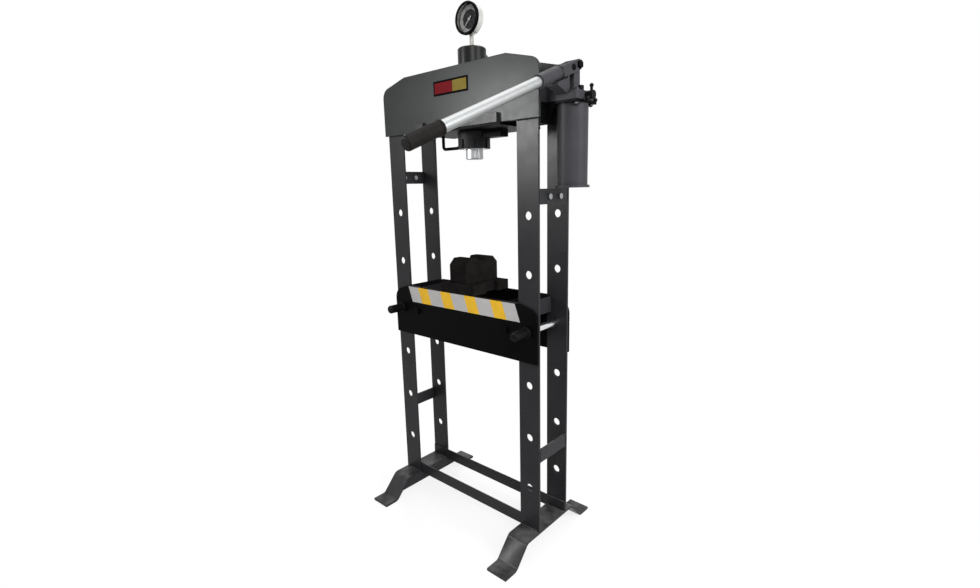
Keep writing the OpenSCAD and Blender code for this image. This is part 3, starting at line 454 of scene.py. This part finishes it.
def make_grip():
    """Rubber grip with a lip at its mouth, moulded rings and a domed end."""
    clearance, lip_h, lip_l, lip_round = 0.0002, 0.0015, 0.006, 0.001
    pitch, groove, ring_round = 0.006, 0.0010, 0.0003
    dome, dome_steps, wall = 0.007, 6, 0.006
    points = lever_points("handle_grip")
    mouth = min(reach for reach, _, _ in points)
    end = max(reach for reach, _, _ in points)
    lip_r = max(off for _, off, _ in points)
    bore_r = max(off for _, off, _ in lever_points("handle_tube")) + clearance
    outer_r = lip_r - lip_h
    lip_end = mouth + lip_l
    profile = [
        (mouth, bore_r), (mouth, lip_r - lip_round), (mouth + lip_round, lip_r),
        (lip_end - lip_round, lip_r), (lip_end, lip_r - lip_round),
    ]
    # One groove and ring, as distances from the groove's start and depths under the ring's top
    ring = (
        (0.0004, groove), (0.0016, groove), (0.0022, ring_round), (0.0030, 0),
        (pitch - 0.0010, 0), (pitch - 0.0002, ring_round),
    )
    at = lip_end
    while at + pitch < end - dome:
        profile += [(at + step, outer_r - depth) for step, depth in ring]
        at += pitch
    for k in range(dome_steps + 1):
        turn = math.pi / 2 * k / dome_steps
        profile.append((end - dome + dome * math.sin(turn), outer_r - dome + dome * math.cos(turn)))
    profile += [(end, 0), (end - wall, 0), (end - wall, bore_r)]
    bm = bmesh.new()
    lathe(bm, PIVOT, ALONG, profile, 64)
    grip = new_piece("grip_rings", bm, GRIP_RUBBER, "lever")
    smooth(grip, 30)
    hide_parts("handle_grip")


make_grip()


# Weld beads: rippled cords laid into the corners between welded pieces

THICK_BEAD, BAR_BEAD, THIN_BEAD, RING_BEAD, RIM_BEAD = 0.0032, 0.0028, 0.0026, 0.0024, 0.0018
BEAD_PITCH = 0.0034
BEAD_SIDES = 8
# How far a bead stops short of a corner, on wide faces and across a bar's thickness
BEAD_INSET, BEAD_INSET_THIN = 0.003, 0.001
# Length at each end of the foot ribs where they follow the foot's bend
RIB_BEND = 0.053


def bead(bm, points, radius):
    """A rippled cord along points, thinner at both ends."""
    points = [Vector(p) for p in points]
    spots = []
    for a, b in zip(points, points[1:]):
        count = max(1, round((b - a).length / BEAD_PITCH))
        spots += [(a.lerp(b, i / count), (b - a).normalized()) for i in range(count)]
    spots.append((points[-1], (points[-1] - points[-2]).normalized()))
    turns = [2 * math.pi * k / BEAD_SIDES for k in range(BEAD_SIDES)]
    rings = []
    for i, (place, along) in enumerate(spots):
        side = along.orthogonal().normalized()
        other = along.cross(side)
        swell = 1 + 0.13 * math.sin(i * 2.1) + 0.07 * math.sin(i * 0.73)
        end = 0.55 if i in (0, len(spots) - 1) else 1.0
        size = radius * swell * end
        rings.append([
            bm.verts.new(place + (side * math.cos(t) + other * math.sin(t)) * size) for t in turns
        ])
    for a, b in zip(rings, rings[1:]):
        for k in range(BEAD_SIDES):
            n = (k + 1) % BEAD_SIDES
            bm.faces.new((a[k], a[n], b[n], b[k]))
    bm.faces.new(list(reversed(rings[0])))
    bm.faces.new(rings[-1])


def bead_ring(bm, centre, along, size, radius, middle=None, reach=math.pi):
    """A bead round an axis, as far as reach to both sides of the direction middle."""
    side = middle or along.orthogonal().normalized()
    other = along.cross(side)
    steps = 48
    turns = (reach * (2 * k / steps - 1) for k in range(steps + 1))
    bead(bm, [centre + (side * math.cos(t) + other * math.sin(t)) * size for t in turns], radius)


def weld_side(bm, side):
    """Beads on one side of the frame: uprights on foot and head, straps, foot rib."""
    outward = 1 if side == "right" else 0
    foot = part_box("foot_" + side)
    top = foot[1].z
    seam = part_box("head_plate_front")[0].z
    for face in ("front", "rear"):
        low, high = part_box(f"upright_{face}_{side}")
        outer = low.y if face == "front" else high.y
        for z in (top, seam):
            bead(bm, [(low.x + BEAD_INSET, outer, z), (high.x - BEAD_INSET, outer, z)], THICK_BEAD)
        edge = (low, high)[outward].x
        ends = (low.y + BEAD_INSET_THIN, high.y - BEAD_INSET_THIN)
        bead(bm, [(edge, y, top) for y in ends], THIN_BEAD)
    lower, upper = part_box("lower_straps"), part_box("upper_straps")
    edge = lower[outward].x
    height = lower[1].z - lower[0].z
    upper_low = upper[0].z if side == "right" else upper[1].z - height
    for z in (lower[0].z, upper_low):
        for y in (lower[0].y, lower[1].y):
            bead(bm, [(edge, y, z + BEAD_INSET), (edge, y, z + height - BEAD_INSET)], THIN_BEAD)
    rib_low, rib_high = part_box("foot_ribs")
    inner = foot[1 - outward].x
    ends = (rib_low.y + RIB_BEND, rib_high.y - RIB_BEND)
    bead(bm, [(inner, y, rib_high.z) for y in ends], THIN_BEAD)


def weld_tank_rim(bm):
    low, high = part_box("pump_tank")
    tank = [v.co for v in NODES["pump_tank"].data.vertices]
    rim_top = max(p.z for p in tank if p.x > high.x - SAME_FACE)
    well_above = 0.01
    wall_x = max(p.x for p in tank if p.z > rim_top + well_above)
    axis_x = (low.x + high.x) / 2
    bead_ring(bm, Vector((axis_x, 0, rim_top)), Z_AXIS, wall_x - axis_x, RIM_BEAD)


def weld_frame():
    bm = bmesh.new()
    for side in ("left", "right"):
        weld_side(bm, side)
    weld_tank_rim(bm)
    return new_piece("weld_frame", bm, MATS["frame_grey"], "frame")


def weld_carriage():
    """Beads round three sides of the stiffening bar and at both ends of the grab handle."""
    bm = bmesh.new()
    low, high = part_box("slide_stiffener")
    start_inset = 0.004
    for y in (low.y, high.y):
        bead(bm, [(low.x + start_inset, y, high.z), (high.x - BEAD_INSET, y, high.z)], BAR_BEAD)
    ends = (low.y + BEAD_INSET, high.y - BEAD_INSET)
    bead(bm, [(high.x, y, high.z) for y in ends], BAR_BEAD)
    low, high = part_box("carriage_handle")
    bar_r = (high.y - low.y) / 2
    for x in (low.x + bar_r, high.x - bar_r):
        bead_ring(bm, Vector((x, 0, high.z)), Z_AXIS, bar_r, RING_BEAD)
    return new_piece("weld_carriage", bm, MATS["black_paint"], "carriage")


def weld_lever():
    """A bead over the top of the yoke's socket, open below where the lever rests on its stop."""
    bm = bmesh.new()
    cheek_end, socket_r = yoke_sizes()
    over = ALONG.cross(X_AXIS)
    reach = math.radians(105)
    bead_ring(bm, PIVOT + ALONG * cheek_end, ALONG, socket_r, RING_BEAD, over, reach)
    return new_piece("weld_lever", bm, PUMP_GREY, "lever")


for weld in (weld_frame, weld_carriage, weld_lever):
    smooth(weld(), 60)


# Warning strip along the top of the bed: slanted blocks, grey and yellow by turns

def make_strip():
    bed_low, bed_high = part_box("bed_plate_front")
    top_gap, height, slant, thick = 0.003, 0.064, 0.023, 0.0004
    end_l, yellow_l, grey_l, side_gap = 0.060, 0.058, 0.074, 0.088
    lengths = [end_l, yellow_l] + [grey_l, yellow_l] * 3 + [end_l]
    face_y = bed_low.y
    top = bed_high.z - top_gap
    bottom = top - height
    blocks = {"strip_grey": bmesh.new(), "strip_yellow": bmesh.new()}
    x = bed_low.x + side_gap
    for i, length in enumerate(lengths):
        bm = blocks["strip_yellow" if i % 2 else "strip_grey"]
        prism(bm, [
            (x, face_y, top), (x + length, face_y, top),
            (x + length + slant, face_y, bottom), (x + slant, face_y, bottom),
        ], (0, -thick, 0))
        x += length
    new_piece("strip_grey", blocks["strip_grey"], STRIP_GREY, "frame")
    new_piece("strip_yellow", blocks["strip_yellow"], STRIP_YELLOW, "frame")


make_strip()


# Bare badge plate on the head: a black plate with a rim round two plain fields

def make_badge():
    head_low, head_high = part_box("head_plate_front")
    half_w, rise, top_gap = 0.087, 0.118, 0.041
    rim, thick, field_t = 0.007, 0.0016, 0.0004
    red_share, field_gap = 0.56, 0.002
    low, high = head_low.z + rise, head_high.z - top_gap
    split = -half_w + 2 * half_w * red_share

    def plate(name, material, x0, x1, z0, z1, y, thickness):
        bm = bmesh.new()
        prism(bm, [(x0, y, z0), (x1, y, z0), (x1, y, z1), (x0, y, z1)], (0, -thickness, 0))
        return new_piece(name, bm, material, "frame")

    back = plate("badge_plate", BADGE_BLACK, -half_w, half_w, low, high, head_low.y, thick)
    bevel = back.modifiers.new("bevel", "BEVEL")
    bevel.width = 0.0006
    bevel.segments = 2
    for name, material, x0, x1 in (
        ("badge_field_red", BADGE_RED, rim - half_w, split - field_gap / 2),
        ("badge_field_gold", BADGE_GOLD, split + field_gap / 2, half_w - rim),
    ):
        plate(name, material, x0, x1, low + rim, high - rim, head_low.y - thick, field_t)


make_badge()


# Gauge: white scale ring with ticks and plain numbers round a black dial

DIAL_LOW, DIAL_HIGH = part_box("gauge_dial")
DIAL_CENTRE = (DIAL_LOW + DIAL_HIGH) / 2
DIAL_R = (DIAL_HIGH.x - DIAL_LOW.x) / 2
RING_IN, RING_OUT = DIAL_R * 0.66, DIAL_R * 0.96
RING_T, TICK_T = 0.0003, 0.0002
SCALE_START, SCALE_SWEEP = math.radians(-135), math.radians(270)
NUMBERS = 6
TICKS_BETWEEN = 10


def on_dial(angle, radius, lift):
    """A point on the dial's front, its angle counted clockwise from the top."""
    return Vector((
        DIAL_CENTRE.x + radius * math.sin(angle),
        DIAL_LOW.y - lift,
        DIAL_CENTRE.z + radius * math.cos(angle),
    ))


def make_dial_ring():
    bm = bmesh.new()
    steps = 96
    section = ((RING_IN, 0), (RING_IN, RING_T), (RING_OUT, RING_T), (RING_OUT, 0))
    rows = []
    for i in range(steps):
        angle = 2 * math.pi * i / steps
        rows.append([bm.verts.new(on_dial(angle, r, lift)) for r, lift in section])
    for a, b in zip(rows, rows[1:] + rows[:1]):
        for k in range(len(section)):
            n = (k + 1) % len(section)
            bm.faces.new((a[k], a[n], b[n], b[k]))
    new_piece("dial_ring", bm, SCALE_WHITE, "carriage")


def make_dial_ticks():
    bm = bmesh.new()
    margin = 0.0005
    count = (NUMBERS - 1) * TICKS_BETWEEN
    for i in range(count + 1):
        angle = SCALE_START + SCALE_SWEEP * i / count
        width, length = (0.0011, 0.0075) if i % TICKS_BETWEEN == 0 else (0.0005, 0.0042)
        across = Vector((math.cos(angle), 0, -math.sin(angle))) * width / 2
        inner = on_dial(angle, RING_OUT - length, RING_T)
        outer = on_dial(angle, RING_OUT - margin, RING_T)
        prism(bm, [inner - across, inner + across, outer + across, outer - across], (0, -TICK_T, 0))
    new_piece("dial_ticks", bm, SCALE_BLACK, "carriage")


def make_dial_numbers():
    size, lift, inset = 0.0075, 0.0004, 0.0112
    for i in range(NUMBERS):
        text = bpy.data.curves.new(f"dial_number_{i}", "FONT")
        text.body = str(i * 10)
        text.size = size
        text.align_x = "CENTER"
        text.align_y = "CENTER"
        text.extrude = 0.0001
        text.materials.append(SCALE_BLACK)
        ob = bpy.data.objects.new(f"dial_number_{i}", text)
        scene.collection.objects.link(ob)
        angle = SCALE_START + SCALE_SWEEP * i / (NUMBERS - 1)
        ob.location = on_dial(angle, RING_OUT - inset, lift)
        ob.rotation_euler = (math.radians(90), 0, 0)
        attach(ob, "carriage")


make_dial_ring()
make_dial_ticks()
make_dial_numbers()


# Floor and light

FLOOR_HALF = 14
FADE_START, FADE_END, FADE_NEAR, FADE_FAR = 0.3, 2.4, 0.80, 1.0
SOFT_LIGHT = 0.50
LAMP_AIM = Vector((0.1, 0, 1.0))
# Name, place, diameter and power of each lamp
LAMPS = (
    ("key", (2.1, -1.8, 2.9), 1.4, 66),
    ("window", (-1.44, -2.29, 1.90), 0.6, 84),
    ("side", (2.9, 0.3, 1.9), 1.6, 66),
    ("top", (0.2, 0.4, 4.2), 2.6, 46),
    ("back", (-2.3, 2.2, 2.4), 1.6, 56),
)


def seen_directly(tree):
    """1 for what the camera, a reflection or a glass shows, 0 for the light that objects get."""
    path = tree.nodes.new("ShaderNodeLightPath")
    seen = path.outputs["Is Camera Ray"]
    for other in ("Is Glossy Ray", "Is Transmission Ray"):
        most = tree.nodes.new("ShaderNodeMath")
        most.operation = "MAXIMUM"
        tree.links.new(seen, most.inputs[0])
        tree.links.new(path.outputs[other], most.inputs[1])
        seen = most.outputs[0]
    return seen


def floor_shade():
    """Pale floor that fades to white away from the press and keeps its shadow near it."""
    s = Shade("floor")
    s.set(Base_Color=(0.88, 0.88, 0.88, 1), Roughness=0.9, Specular_IOR_Level=0.1)
    far = s.node("ShaderNodeVectorMath", operation="LENGTH")
    s.link(s.coords(), far.inputs[0])
    fade = s.span(far.outputs["Value"], FADE_START, FADE_END, FADE_NEAR, FADE_FAR)
    glow = s.node("ShaderNodeEmission", Strength=1.0)
    glow.inputs["Color"].default_value = WHITE
    blend = s.node("ShaderNodeMixShader")
    s.link(s.product(seen_directly(s.tree), fade), blend.inputs[0])
    s.link(s.bsdf.outputs[0], blend.inputs[1])
    s.link(glow.outputs[0], blend.inputs[2])
    s.link(blend.outputs[0], s.tree.nodes["Material Output"].inputs["Surface"])
    return s.mat


def make_floor():
    bm = bmesh.new()
    signs = ((-1, -1), (1, -1), (1, 1), (-1, 1))
    bm.faces.new([bm.verts.new((x * FLOOR_HALF, y * FLOOR_HALF, 0)) for x, y in signs])
    mesh = bpy.data.meshes.new("floor")
    bm.to_mesh(mesh)
    bm.free()
    mesh.materials.append(floor_shade())
    floor = bpy.data.objects.new("floor", mesh)
    scene.collection.objects.link(floor)


def make_world():
    """White where it is seen, softer where it lights the objects."""
    world = bpy.data.worlds.new("world")
    scene.world = world
    world.use_nodes = True
    tree = world.node_tree
    soft = tree.nodes["Background"]
    white = tree.nodes.new("ShaderNodeBackground")
    for background, strength in ((soft, SOFT_LIGHT), (white, 1.0)):
        background.inputs["Color"].default_value = WHITE
        background.inputs["Strength"].default_value = strength
    mix = tree.nodes.new("ShaderNodeMixShader")
    tree.links.new(seen_directly(tree), mix.inputs[0])
    tree.links.new(soft.outputs[0], mix.inputs[1])
    tree.links.new(white.outputs[0], mix.inputs[2])
    tree.links.new(mix.outputs[0], tree.nodes["World Output"].inputs["Surface"])


def make_lamps():
    """The window only makes a gleam on the paint, and the back lamp makes none."""
    for name, place, size, power in LAMPS:
        data = bpy.data.lights.new(name, "AREA")
        data.shape = "DISK"
        data.size = size
        data.energy = power
        lamp = bpy.data.objects.new(name, data)
        scene.collection.objects.link(lamp)
        lamp.location = place
        aim = LAMP_AIM - lamp.location
        lamp.rotation_euler = aim.to_track_quat("-Z", "Y").to_euler()
        lamp.visible_diffuse = name != "window"
        lamp.visible_glossy = name != "back"


make_floor()
make_world()
make_lamps()
